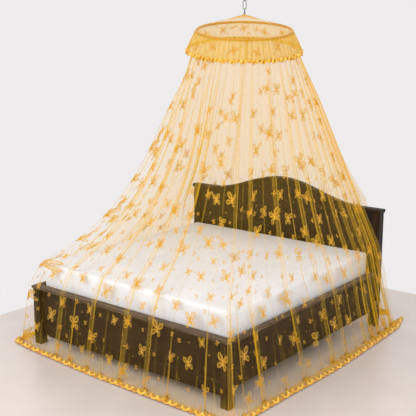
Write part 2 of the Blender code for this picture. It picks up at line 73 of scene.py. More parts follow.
def newPiece(name, points, faces, materials, faceMaterials=None):
    mesh = bpy.data.meshes.new(name)
    mesh.from_pydata(np.reshape(points, (-1, 3)).tolist(), [], faces)
    for material in materials:
        mesh.materials.append(material)
    if faceMaterials is not None:
        mesh.polygons.foreach_set("material_index", faceMaterials)
    mesh.shade_smooth()
    return addToScene(name, mesh)


def gridFaces(rows, columns, closed=False, closedRows=False, start=0):
    # faces of a grid of points, row by row; closed: its last column meets its first
    here = start + np.arange(rows * columns).reshape(rows, columns)
    below, beside = np.roll(here, -1, axis=0), np.roll(here, -1, axis=1)
    corners = np.stack([here, below, np.roll(below, -1, axis=1), beside], axis=-1)
    corners = corners[:rows if closedRows else -1, :columns if closed else -1]
    return corners.reshape(-1, 4).tolist()


def newCloth(name, points, material, cover, uv=None, closed=False, closedRows=False):
    # a grid of points, each with the cover that its material reads
    faces = gridFaces(*points.shape[:2], closed, closedRows)
    piece = newPiece(name, points, faces, [material])
    if uv is not None:
        layer = piece.data.uv_layers.new(name="cloth")
        corners = np.empty(len(piece.data.loops), np.int32)
        piece.data.loops.foreach_get("vertex_index", corners)
        places = np.stack(np.broadcast_arrays(*uv), axis=-1).reshape(-1, 2)[corners]
        layer.data.foreach_set("uv", places.astype(np.float32).ravel())
    attribute = piece.data.attributes.new("cover", "FLOAT", "POINT")
    attribute.data.foreach_set("value", np.asarray(cover, np.float32).ravel())
    return piece


def finishPiece(piece, slot, *nodes):
    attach(piece, "root")
    if nodes:
        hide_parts(*nodes)


def unit(vectors):
    return vectors / np.maximum(np.linalg.norm(vectors, axis=-1, keepdims=True), 1e-9)


def follow(table, place):
    # a value read off a short table of places and values
    return np.interp(place, *zip(*table))


def unevenWaves(place, waves):
    # waves: the height of each, how close it runs, how far that drifts, and how often
    return sum(height * np.sin(close * place + drift * np.sin(often * place))
               for height, close, drift, often in waves)


def runningLength(points):
    # metres along a line of points, or down each column of a grid
    steps = np.linalg.norm(np.diff(points, axis=0), axis=-1)
    return np.concatenate([np.zeros_like(steps[:1]), np.cumsum(steps, axis=0)])


# materials
def newMaterial(name):
    material = bpy.data.materials.new(name)
    material.use_nodes = True
    return material, material.node_tree, material.node_tree.nodes["Principled BSDF"]


def setValues(tree, node, values):
    # a node given as a value is linked by its first output; a plain value is set as it is
    for key, value in values.items():
        if isinstance(value, bpy.types.Node):
            value = value.outputs[0]
        if isinstance(value, bpy.types.NodeSocket):
            tree.links.new(value, node.inputs[key])
        elif isinstance(key, int) or key in node.inputs:
            node.inputs[key].default_value = value
        else:
            setattr(node, key, value)
    return node


def addNode(tree, kind, *inputs, **values):
    # inputs come in the node's own order, values by their names
    node = tree.nodes.new("ShaderNode" + kind)
    return setValues(tree, node, {**dict(enumerate(inputs)), **values})


def addMath(tree, operation, first, second):
    return addNode(tree, "Math", first, second, operation=operation)


def addRamp(tree, source, stops):
    # stops: a place, and a colour or one number for a grey
    ramp = addNode(tree, "ValToRGB", source)
    elements = ramp.color_ramp.elements
    while len(elements) < len(stops):
        elements.new(0.5)
    for element, (place, colour) in zip(elements, stops):
        element.position = place
        element.color = (*np.broadcast_to(colour, 3), 1.0)
    return ramp


def addNoise(tree, coords, stretch, **values):
    mapping = addNode(tree, "Mapping", Scale=stretch)
    tree.links.new(addNode(tree, "TexCoord").outputs[coords], mapping.inputs["Vector"])
    return addNode(tree, "TexNoise", Vector=mapping, **values)


def addBump(tree, height, bump, **values):
    # bump: strength and distance
    return addNode(tree, "Bump", Height=height, Strength=bump[0], Distance=bump[1], **values)


def showSurface(tree, surface):
    setValues(tree, tree.nodes["Material Output"], {"Surface": surface})


netLook = {
    "tint": [(0.08, (1.00, 0.64, 0.065)), (0.60, (0.93, 0.53, 0.019))],    # by cover
    "pleatScale": (30.0, 0.45, 1.0),     # fine pleats: narrow across the cloth, long down it
    "pleatStops": [(0.54, 0.0), (0.72, 1.0)],
    "pleatCover": 0.18,
    "pleatLeast": 0.03,
    "weaveScale": (150.0, 150.0, 1.0),
    "weaveStops": [(0.32, 0.62), (0.70, 1.0)],
    "weaveGain": 1.22,
    "roughness": 0.75,
    "gloss": 0.2,
    "through": 0.45,                     # share of the threads' light that comes from behind
}

denseNetLook = dict(netLook, tint=[(0.60, (0.91, 0.63, 0.122)), (0.98, (0.75, 0.43, 0.020))])


def makeNetMaterial(name, look):
    # sheer net: its threads stop a share of the light, more where the cloth is gathered
    material, tree, shader = newMaterial(name)
    cover = addNode(tree, "Attribute", attribute_name="cover").outputs["Fac"]
    pleats = addNoise(tree, "UV", look["pleatScale"], Scale=1.0, Detail=3.0, Roughness=0.65)
    weave = addNoise(tree, "UV", look["weaveScale"], Scale=1.0, Detail=1.0)
    woven = addMath(tree, "MULTIPLY", addRamp(tree, weave, look["weaveStops"]), look["weaveGain"])
    pleated = addMath(tree, "MULTIPLY", addRamp(tree, pleats, look["pleatStops"]),
                      addMath(tree, "ADD", cover, look["pleatLeast"]))
    total = addMath(tree, "ADD", addMath(tree, "MULTIPLY", cover, woven),
                    addMath(tree, "MULTIPLY", pleated, look["pleatCover"]))
    total = addMath(tree, "MINIMUM", total, 1.0)
    tint = addRamp(tree, cover, look["tint"])
    setValues(tree, shader, {"Base Color": tint, "Roughness": look["roughness"],
                             "Specular IOR Level": look["gloss"]})
    behind = addNode(tree, "BsdfTranslucent", Color=tint)
    threads = addNode(tree, "MixShader", look["through"], shader, behind)
    holes = addNode(tree, "BsdfTransparent")
    showSurface(tree, addNode(tree, "MixShader", total, holes, threads))
    return material


stitchLook = {
    "pale": (0.84, 0.47, 0.014),
    "deep": (0.70, 0.33, 0.004),
    "scale": 420.0,
    "bump": (0.4, 0.001),
    "roughness": 0.55,
    "sheen": 0.3,
    "through": 0.35,
}


def makeStitchMaterial(name, deep, alpha):
    # close stitching: short glossy threads side by side
    look = stitchLook
    material, tree, shader = newMaterial(name)
    threads = addNoise(tree, "Object", (1.0, 1.0, 0.35), Scale=look["scale"], Detail=2.0)
    setValues(tree, shader, {
        "Base Color": addRamp(tree, threads, [(0.35, deep), (0.62, look["pale"])]),
        "Normal": addBump(tree, threads, look["bump"]),
        "Roughness": look["roughness"], "Sheen Weight": look["sheen"], "Alpha": alpha})
    behind = addNode(tree, "BsdfTranslucent", Color=(*look["pale"], 1.0))
    showSurface(tree, addNode(tree, "MixShader", look["through"] * alpha, shader, behind))
    return material


ribbonLook = {
    # the tint runs from dark gold, where a ribbon piece's cover paints shade, to pale gold, where
    # it paints highlights
    "tint": [(0.26, (0.56, 0.23, 0.002)), (0.50, (0.88, 0.46, 0.008)), (0.86, (1.00, 0.70, 0.11))],
    # the first share is of the painted light and shade that a ribbon piece stores as its cover
    "paintedShadeAndGatherShares": (0.75, 0.5),           # of the cover, and of the fine gathers
    "bump": (0.5, 0.002),
    "roughness": 0.42,
    "sheen": 0.2,
}


def makeRibbonMaterial(name):
    # satin ribbon: thin gathers, with painted shade down in its folds and painted highlights on its
    # loops, both read from the cover that each ribbon piece stores
    look = ribbonLook
    material, tree, shader = newMaterial(name)
    gathers = addNoise(tree, "Object", (1.0, 1.0, 0.8), Scale=95.0, Detail=3.0)
    # on the ribbon pieces the cover holds painted light and shade, not the net's share of stopped
    # light
    cover = addNode(tree, "Attribute", attribute_name="cover").outputs["Fac"]
    paintedShadeShare, gatherShare = look["paintedShadeAndGatherShares"]
    paintedShadeTone = addMath(tree, "ADD", addMath(tree, "MULTIPLY", cover, paintedShadeShare),
                   addMath(tree, "MULTIPLY", gathers, gatherShare))
    setValues(tree, shader, {
        "Base Color": addRamp(tree, paintedShadeTone, look["tint"]),
        "Normal": addBump(tree, gathers, look["bump"]),
        "Roughness": look["roughness"], "Sheen Weight": look["sheen"]})
    return material


woodLook = {
    "tint": [(0.28, (0.008, 0.0030, 0.0012)), (0.50, (0.020, 0.0085, 0.0034)),
             (0.74, (0.050, 0.024, 0.010))],
    "across": 44.0,                      # how close the grain runs, across it and along it
    "along": 2.42,
    "wear": [(0.35, 0.62), (0.65, 1.25)],
    "wearShare": 0.6,
    "gloss": 0.14,
    "roughness": [(0.3, 0.56), (0.7, 0.42)],
    "bump": (0.25, 0.002),
}

# a paler copy of the timber for the caps: painted light, as if their tops caught more light than
# the rest of the bed
paintedLightWoodLook = dict(woodLook, across=56.0, along=3.08, tint=[
    (0.28, (0.045, 0.027, 0.017)), (0.50, (0.095, 0.062, 0.042)), (0.74, (0.160, 0.110, 0.078))])


def makeWoodMaterial(name, grainAxis, look):
    # stained timber with its grain along one axis, and paler and darker spots of wear
    material, tree, shader = newMaterial(name)
    stretch = [look["along"] if axis == grainAxis else look["across"] for axis in "xyz"]
    grain = addNoise(tree, "Object", stretch, Scale=1.0, Detail=6.0, Roughness=0.62,
                     Distortion=0.6)
    wear = addNoise(tree, "Object", (1.0, 1.0, 1.0), Scale=9.0, Detail=4.0, Roughness=0.6)
    mix = addNode(tree, "Mix", look["wearShare"], data_type="RGBA", blend_type="MULTIPLY")
    setValues(tree, mix, {6: addRamp(tree, grain, look["tint"]),
                          7: addRamp(tree, wear, look["wear"])})
    setValues(tree, shader, {
        "Base Color": mix.outputs[2], "Specular IOR Level": look["gloss"],
        "Roughness": addRamp(tree, grain, look["roughness"]),
        "Normal": addBump(tree, grain, look["bump"])})
    return material


steelLook = {
    "tint": [(0.3, (0.11, 0.10, 0.09)), (0.7, (0.22, 0.205, 0.19))],
    "roughness": [(0.3, 0.45), (0.7, 0.28)],
    "metallic": 0.9,
}


def makeSteelMaterial(name):
    look = steelLook
    material, tree, shader = newMaterial(name)
    scratches = addNoise(tree, "Object", (1.0, 1.0, 0.2), Scale=240.0, Detail=3.0)
    setValues(tree, shader, {
        "Base Color": addRamp(tree, scratches, look["tint"]),
        "Roughness": addRamp(tree, scratches, look["roughness"]), "Metallic": look["metallic"]})
    return material


cottonLook = {
    "tint": [(0.3, (0.74, 0.742, 0.765)), (0.7, (0.81, 0.81, 0.82))],
    "weaveBump": (0.12, 0.0006),
    "softBump": (0.35, 0.012),
    "roughness": 0.9,
    "sheen": 0.15,
}


def makeCottonMaterial(name):
    # white cotton cover with a fine plain weave and soft unevenness
    look = cottonLook
    material, tree, shader = newMaterial(name)
    weave = addNoise(tree, "Object", (1.0, 1.0, 1.0), Scale=900.0, Detail=1.0)
    soft = addNoise(tree, "Object", (1.0, 0.6, 1.0), Scale=7.0, Detail=3.0)
    fineBump = addBump(tree, weave, look["weaveBump"])
    setValues(tree, shader, {
        "Base Color": addRamp(tree, soft, look["tint"]),
        "Normal": addBump(tree, soft, look["softBump"], Normal=fineBump),
        "Roughness": look["roughness"], "Sheen Weight": look["sheen"]})
    return material


netCloth = makeNetMaterial("sheer golden net", netLook)
denseNetCloth = makeNetMaterial("gathered golden net", denseNetLook)
stitching = makeStitchMaterial("golden stitching", stitchLook["deep"], 1.0)
looseStitching = makeStitchMaterial("loose golden stitching", stitchLook["deep"], 0.72)
laceFilling = makeStitchMaterial("open stitching", stitchLook["pale"], 0.30)
ribbon = makeRibbonMaterial("golden ribbon")
cotton = makeCottonMaterial("white cotton cover")
timberAcross = makeWoodMaterial("dark timber, grain across", "x", woodLook)
timberAlong = makeWoodMaterial("dark timber, grain along", "y", woodLook)
timberUpright = makeWoodMaterial("dark timber, grain upright", "z", woodLook)
# the caps take the paler copy: painted light on the bed's top edges
cappingAcross = makeWoodMaterial("paler timber painted as lit, grain across", "x", paintedLightWoodLook)
cappingAlong = makeWoodMaterial("paler timber painted as lit, grain along", "y", paintedLightWoodLook)
steel = makeSteelMaterial("dull steel")
print("materials made")


# the route of the net, the same as its solid's: everything in the bed's own frame
hoopShape = {
    "centre": (0.0, 1.469, 2.443),
    "radius": 0.384,
    "tube": 0.011,
    "tip": 11.0,                         # degrees
    "tipTowards": -51.4,                 # plan direction of its low side
    "roofRise": 0.124,
}

netShape = {
    # turn: edge x, y, z; side x, y, z; hem x, y; sag
    "route": [
        (40, 0.800, 2.135, 1.060, 0.850, 2.200, 0.500, 0.930, 2.385, 0.04),
        (65, 0.450, 2.125, 1.180, 0.480, 2.200, 0.500, 0.480, 2.395, 0.04),
        (90, 0.000, 2.122, 1.240, 0.000, 2.200, 0.500, 0.000, 2.395, 0.02),
        (115, -0.450, 2.125, 1.180, -0.480, 2.200, 0.500, -0.500, 2.395, 0.04),
        (138, -1.004, 2.106, 1.016, -1.030, 2.125, 0.500, -1.110, 2.350, 0.06),
        (147, -1.006, 2.004, 1.016, -1.035, 1.990, 0.500, -1.155, 2.120, 0.07),
        (160, -0.960, 1.780, 0.760, -0.996, 1.760, 0.495, -1.160, 1.780, 0.11),
        (180, -0.922, 1.350, 0.660, -0.985, 1.330, 0.487, -1.166, 1.300, 0.14),
        (205, -0.922, 0.800, 0.660, -0.985, 0.780, 0.487, -1.155, 0.750, 0.18),
        (225, -0.921, 0.330, 0.658, -0.985, 0.280, 0.487, -1.130, 0.250, 0.23),
        (237, -0.919, 0.064, 0.658, -0.984, -0.014, 0.487, -1.100, -0.060, 0.24),
        (248, -0.550, 0.064, 0.659, -0.560, -0.015, 0.487, -0.600, -0.120, 0.19),
        (270, 0.000, 0.063, 0.660, 0.000, -0.015, 0.487, 0.000, -0.150, 0.17),
        (290, 0.520, 0.063, 0.660, 0.540, -0.015, 0.487, 0.580, -0.154, 0.20),
        (303, 0.919, 0.064, 0.659, 0.984, -0.014, 0.487, 1.105, -0.130, 0.23),
        (320, 0.922, 0.420, 0.660, 0.985, 0.420, 0.487, 1.135, 0.420, 0.16),
        (345, 0.930, 1.100, 0.660, 0.986, 1.100, 0.487, 1.166, 1.100, 0.06),
        (370, 0.950, 1.620, 0.680, 0.992, 1.640, 0.487, 1.150, 1.680, 0.02),
        (388, 0.965, 1.900, 0.720, 1.006, 1.930, 0.487, 1.135, 2.060, 0.01),
        (400, 1.003, 2.006, 0.715, 1.028, 2.095, 0.450, 1.060, 2.350, 0.00),
    ],
    # turn of a fold, its width and how far it stands out on the floor side
    "folds": [
        (46, 0.070, 0.022), (58, 0.060, 0.016), (70, 0.080, 0.026), (83, 0.060, 0.018),
        (96, 0.075, 0.024), (108, 0.060, 0.016), (121, 0.080, 0.025), (130, 0.060, 0.018),
        (138, 0.070, 0.020), (147, 0.070, 0.020), (155, 0.060, 0.022), (163, 0.060, 0.016),
        (172, 0.080, 0.024), (184, 0.065, 0.018), (197, 0.080, 0.026), (210, 0.060, 0.018),
        (221, 0.070, 0.022), (231, 0.050, 0.016), (237, 0.060, 0.018), (241.5, 0.050, 0.018),
        (247, 0.070, 0.026), (252, 0.045, 0.014), (259.5, 0.070, 0.028), (266, 0.050, 0.016),
        (273, 0.060, 0.024), (282, 0.080, 0.030), (289, 0.045, 0.014), (296.5, 0.060, 0.020),
        (303, 0.075, 0.030), (309, 0.050, 0.018), (315, 0.070, 0.028), (323, 0.045, 0.016),
        (331, 0.080, 0.030), (339, 0.055, 0.018), (346, 0.060, 0.024), (354, 0.070, 0.028),
        (361, 0.055, 0.020), (368, 0.070, 0.028), (375, 0.060, 0.022), (381.5, 0.065, 0.028),
        (387.5, 0.060, 0.024), (393.5, 0.060, 0.028),
    ],
    # way down the net (0 hoop, 1 edge, 2 side, 3 floor, 4 hem), and the share of a fold's width
    # and of its depth there
    "steps": [
        (0.00, 0.32, 0.22), (0.08, 0.34, 0.26), (0.17, 0.38, 0.36), (0.30, 0.46, 0.56),
        (0.45, 0.57, 0.80), (0.62, 0.68, 0.95), (0.80, 0.76, 0.80), (1.00, 0.82, 0.30),
        (1.50, 0.84, 0.50), (2.00, 0.86, 0.35), (2.33, 0.90, 0.85), (2.68, 0.96, 1.00),
        (3.00, 1.00, 0.70), (3.50, 1.05, 0.40), (4.00, 1.10, 0.00),
    ],
    "hoopClear": 0.0003,                 # from the hoop's tube to the net's upper edge
    "sagPeak": 0.186,                    # the most that the sag's curve reaches by itself
    "topSlope": 0.25,                    # metres out for each down, past which the net is tucked
    "tuckEnd": 0.35,
    "fallOut": (0.0, 0.17, 0.38, 0.62),  # how far out to the hem, from the side to the floor
    "floorLevel": 0.0022,
    "floorClear": 0.0012,
    "widestWay": 2.68,
    "widestFold": 2.1,                   # half of it, in degrees
    "ripple": [(0.0018, 2.9, 1.7, 0.37)],
    # how the fine sheet is cut into columns and rows
    "bandFrom": 0.022,                   # folds this deep are flat bands, the others single lines
    "bandHalf": 0.018,
    "lineHalf": 0.0062,
    "gapStep": 0.088,                    # metres of the gap between two folds for each column
    "gapMiddle": (0.42, 0.16),           # where those columns start in it, and how much they fill
    "rowsInPart": (34, 7, 15, 8),
    # two fine creases in each gap, which fan out from the folds on either side
    "fanHalf": 0.07,                     # of the gap's width
    "fanFullGap": 0.09,                  # metres; in a wider gap they are no wider
    "fanPlace": (0.09, 0.24),            # at the hoop, and how much further on at the hem
    "fanEdges": (0.75, 0.6),
    "fanDown": [(0.0, 0.08), (0.6, 0.04), (1.8, 0.12), (2.6, 0.55), (3.0, 1.1), (4.0, 1.1)],
    # the creased edges of a fold: pinched cloth that leans to one side
    "crestLength": 0.0045,
    "crestEdges": ((1.0, 0.55), (0.5, 1.0), (0.9, 0.8)),    # first and second edge, in turn
    "crestDown": [(0.0, 0.34), (0.2, 0.36), (0.9, 0.55), (1.2, 0.80), (2.2, 0.90), (4.0, 1.0)],
    "crestRound": [(40, 0.30), (205, 0.38), (235, 1.0), (400, 1.0)],
    # share of the light that is stopped: by the flat net at the hoop, lower down by the turn, on
    # the floor, by the bunched net beside the slit, by the slit's borders, and by folds
    "hoopCover": 0.22,
    "hoopCoverEnd": 0.8,
    "coverRound": [(190, 0.37), (235, 0.037), (340, 0.037), (400, 0.074)],
    "floorCover": 0.47,
    "floorCoverFrom": 2.72,
    "bunchCover": 0.16,
    "bunchFrom": 372.0,
    "borderCover": 0.4,
    "bandCover": 0.17,
    "crestCover": 0.80,
    "mostCover": 0.95,
}

hoopCentre = Vector(hoopShape["centre"]) + bedShift
tipAngle = math.radians(hoopShape["tipTowards"])
hoopAxes = np.array(Matrix.Rotation(math.radians(hoopShape["tip"]), 3,
                                    Vector((-math.sin(tipAngle), math.cos(tipAngle), 0))))


def onHoop(degrees, radius, height=0.0):
    # points on the tipped hoop's own plane, or at a height above it
    turn = np.radians(np.asarray(degrees, float))
    radius, height = np.broadcast_to(radius, turn.shape), np.broadcast_to(height, turn.shape)
    flat = np.stack([radius * np.cos(turn), radius * np.sin(turn), height], axis=-1)
    return flat @ hoopAxes.T + np.array(hoopCentre)


def makeTrack(places, values):
    # a smooth curve through the values that never swings past them
    places, values = np.asarray(places, float), np.asarray(values, float)
    secants = np.diff(values) / np.diff(places)
    together = secants[:-1] * secants[1:] > 0
    total = np.where(together, secants[:-1] + secants[1:], 1.0)
    middle = np.where(together, 2 * secants[:-1] * secants[1:] / total, 0.0)
    slopes = np.concatenate([secants[:1], middle, secants[-1:]])

    def track(place):
        i = np.clip(np.searchsorted(places, place, side="right") - 1, 0, len(places) - 2)
        width = places[i + 1] - places[i]
        s = (place - places[i]) / width
        keep, pull = 2 * s ** 3 - 3 * s ** 2, s ** 3 - 2 * s ** 2 + s
        return (values[i] * (1 + keep) - values[i + 1] * keep
                + width * (slopes[i] * pull + slopes[i + 1] * (s ** 3 - s ** 2)))

    return track


routeTurns, *routeColumns = zip(*netShape["route"])
routeTracks = [makeTrack(routeTurns, column) for column in routeColumns]
stepWays, stepWidths, stepDepths = (np.array(column) for column in zip(*netShape["steps"]))
foldTurns, foldWidths, foldDepths = (np.array(column) for column in zip(*netShape["folds"]))
firstTurn, lastTurn = routeTurns[0], routeTurns[-1]


def matched(turn, way):
    return np.broadcast_arrays(np.asarray(turn, float), np.asarray(way, float))


def smoothNet(turn, way):
    # the net before its folds, at a turn round the hoop and a way down from it (0 to 4)
    turn, way = matched(turn, way)
    *values, sag = (track(turn) for track in routeTracks)
    floor = np.full(turn.shape, netShape["floorLevel"])
    edge, side, hem = (np.stack(places, axis=-1) + np.array(bedShift)
                       for places in (values[0:3], values[3:6], (*values[6:8], floor)))
    start = onHoop(turn, hoopShape["radius"], -hoopShape["tube"] - netShape["hoopClear"])
    run = edge - start
    outward = unit(run * (1.0, 1.0, 0.0))
    across = np.sum(outward * run, axis=-1)
    length = np.linalg.norm(run, axis=-1)
    hang = outward * (run[..., 2] / length)[..., None]
    hang[..., 2] -= across / length
    along = np.clip(way, 0, 1)
    deep = sag * along ** 1.5 * (1 - along) / netShape["sagPeak"]
    tooFlat = np.maximum(across + netShape["topSlope"] * run[..., 2], 0)
    tuck = tooFlat * along * np.maximum(1 - along / netShape["tuckEnd"], 0) ** 2
    upper = start + run * along[..., None] + hang * deep[..., None] - outward * tuck[..., None]
    along = np.clip(way - 1, 0, 1)[..., None]
    middle = side * along + edge * (1 - along)
    along = np.clip(way - 2, 0, 1)
    out = np.interp(along, np.linspace(0, 1, 4), netShape["fallOut"])[..., None]
    lower = side + (hem - side) * out
    lower[..., 2] = side[..., 2] + (floor - side[..., 2]) * along
    landed = side + (hem - side) * netShape["fallOut"][-1]
    landed[..., 2] = floor
    lying = landed + (hem - landed) * np.clip(way - 3, 0, 1)[..., None]
    part = way[..., None]
    return np.select([part <= 1, part <= 2, part <= 3], [upper, middle, lower], lying)


def netDirections(turn, way):
    # unit vectors round the net and out of it; at the hoop that is out along the hoop's plane
    turn, way = matched(turn, way)
    down = unit(smoothNet(turn, np.clip(way + 0.02, 0, 4))
                - smoothNet(turn, np.clip(way - 0.02, 0, 4)))
    roundIt = unit(smoothNet(turn + 0.5, way) - smoothNet(turn - 0.5, way))
    out = unit(np.cross(down, roundIt))
    level = unit(onHoop(turn, 1.0) - np.array(hoopCentre))
    share = np.clip(1 - way / 0.06, 0, 1)[..., None]
    return roundIt, unit(out * (1 - share) + level * share)


def metresPerDegree(turn, way):
    step = smoothNet(turn + 1, way) - smoothNet(turn - 1, way)
    return np.maximum(np.linalg.norm(step, axis=-1) / 2, 0.002)


def foldHalf(k, way):
    return foldWidths[k] * np.interp(way, stepWays, stepWidths) / 2


def foldSpread(k, way):
    # half a fold's width in degrees
    return np.minimum(foldHalf(k, way) / metresPerDegree(foldTurns[k], way),
                      netShape["widestFold"])


def foldHeight(turn, way):
    # how far the folded net stands out of the smooth one
    turn, way = matched(turn, way)
    height = np.zeros(turn.shape)
    depthShare = np.interp(way, stepWays, stepDepths)
    for k in range(len(foldTurns)):
        near = np.abs(turn - foldTurns[k]) < netShape["widestFold"]
        if near.any():
            q = np.abs(turn[near] - foldTurns[k]) / foldSpread(k, way[near])
            hump = foldDepths[k] * depthShare[near] * (1 + np.cos(np.pi * np.clip(q, 0, 1))) / 2
            height[near] = np.maximum(height[near], hump)
    return height


def rippleHeight(turn, way):
    # the faint waves of the flat stretches, none at the hoop or the hem
    ends = np.clip(way * 3, 0, 1) * np.clip((3.9 - way) * 2, 0, 1)
    return unevenWaves(turn, netShape["ripple"]) * ends


def netWays():
    ways = [0.0]
    for part, count in enumerate(netShape["rowsInPart"]):
        ways += [part + (i + 1) / count for i in range(count)]
    return np.array(ways)


def foldPlaces(k, ways):
    # columns of one fold, each with its distance from the fold's middle in metres down the rows,
    # how much of a creased edge it is, and how much of the flat band between two edges
    half = foldHalf(k, ways)
    line = np.minimum(netShape["lineHalf"], 0.3 * half)
    band = np.minimum(netShape["bandHalf"], 0.68 * half)
    first, second = netShape["crestEdges"][k % 3]
    if foldDepths[k] < netShape["bandFrom"]:
        return [(-half, 0, 0), (-0.6 * half, 0, 0), (-line, 0, 0), (-0.4 * line, 0.8 * first, 0),
                (0.4 * line, 0.8 * first, 0), (line, 0, 0), (0.6 * half, 0, 0), (half, 0, 0)]
    return [(-half, 0, 0), (-band - line, 0, 0), (-band - 0.3 * line, first, 0.5),
            (-band + 0.3 * line, first, 1), (-band + line, 0, 1), (0 * half, 0, 1),
            (band - line, 0, 1), (band - 0.3 * line, second, 1),
            (band + 0.3 * line, second, 0.5), (band + line, 0, 0), (half, 0, 0)]


def skirtColumns(ways):
    # for each column of the fine sheet, down its rows: turn, share of a creased edge, share of a
    # flat band, and to which side the edge leans
    look, columns = netShape, []

    def addColumn(turn, crest=0.0, band=0.0, side=0.0):
        columns.append([np.broadcast_to(value, ways.shape)
                        for value in (turn, crest, band, side * crest)])

    fanShare = follow(look["fanDown"], ways)
    fan = look["fanPlace"][0] + look["fanPlace"][1] * np.clip((ways - 1.2) / 2.8, 0, 1) ** 1.4
    gapStart, gapShare = look["gapMiddle"]
    addColumn(firstTurn)
    before = np.full(ways.shape, firstTurn)
    for k in range(len(foldTurns) + 1):
        last = k == len(foldTurns)
        limit = 0 if last else foldSpread(k, ways)
        after = np.full(ways.shape, lastTurn) if last else foldTurns[k] - limit
        middle = (before.mean() + after.mean()) / 2
        span = (after - before).mean() * metresPerDegree(middle, look["widestWay"])
        half = look["fanHalf"] * np.minimum(1, look["fanFullGap"] / span)
        count = max(int(span / look["gapStep"]), 1)
        places = [(fan - half, 0), (fan, look["fanEdges"][0]), (fan + half, 0)]
        places += [(gapStart + gapShare * i / count, 0) for i in range(count + 1)]
        places += [(1 - fan - half, 0), (1 - fan, look["fanEdges"][1]), (1 - fan + half, 0)]
        for place, crest in places:
            addColumn(before + (after - before) * place, crest * fanShare)
        if not last:
            degrees = np.minimum(1 / metresPerDegree(foldTurns[k], ways), 80.0)
            for place, crest, band in foldPlaces(k, ways):
                shift = np.clip(place * degrees, -limit, limit)
                addColumn(foldTurns[k] + shift, crest, band, np.sign(place.mean() + 1e-9))
            before = foldTurns[k] + limit
    addColumn(lastTurn)
    return np.array(columns).transpose(1, 2, 0)


def skirtCover(turns, way, crest, band):
    look = netShape
    cover = follow(look["coverRound"], turns) - look["hoopCover"]
    cover = look["hoopCover"] + cover * np.clip(way / look["hoopCoverEnd"], 0, 1) ** 0.7
    lying = np.clip((way - look["floorCoverFrom"]) * 2, 0, 1) ** 1.3
    bunched = np.clip((turns - look["bunchFrom"]) / 20, 0, 1)
    cover = cover + look["floorCover"] * lying + look["bunchCover"] * bunched
    border = np.minimum(abs(turns - firstTurn), abs(turns - lastTurn)) < 0.3
    cover = np.where(border, cover + look["borderCover"], cover)
    uneven = np.clip(0.55 + 0.45 * np.sin(turns * 1.7 + way * 2.1 + crest * 9), 0.25, 1)
    edges = uneven * follow(look["crestDown"], way) * follow(look["crestRound"], turns)
    cover = cover + look["bandCover"] * band + look["crestCover"] * crest * edges
    return np.minimum(cover, look["mostCover"])


def makeNetSkirt():
    look, ways = netShape, netWays()
    turns, crest, band, lean = skirtColumns(ways)
    way = np.broadcast_to(ways[:, None], turns.shape)
    roundIt, out = netDirections(turns, way)
    pinch = look["crestLength"] * np.clip(way * 4, 0, 1) * np.clip((4 - way) * 3, 0, 1)
    pinch = pinch * follow(look["crestRound"], turns)
    height = foldHeight(turns, way) + rippleHeight(turns, way) + pinch * (crest + band) / 2
    points = smoothNet(turns, way) + out * height[..., None] + roundIt * (pinch * lean)[..., None]
    points[..., 2] = np.maximum(points[..., 2], look["floorClear"])

    widest = np.argmin(abs(ways - look["widestWay"]))
    clothU, clothV = runningLength(points[widest]), runningLength(points)
    piece = newCloth("netSkirt", points, netCloth, skirtCover(turns, way, crest, band),
                     uv=(clothU, clothV))
    finishPiece(piece, "net", "net_skirt")
    return piece, (turns[widest], clothU, clothV, ways)


netSkirt, clothMeasure = makeNetSkirt()


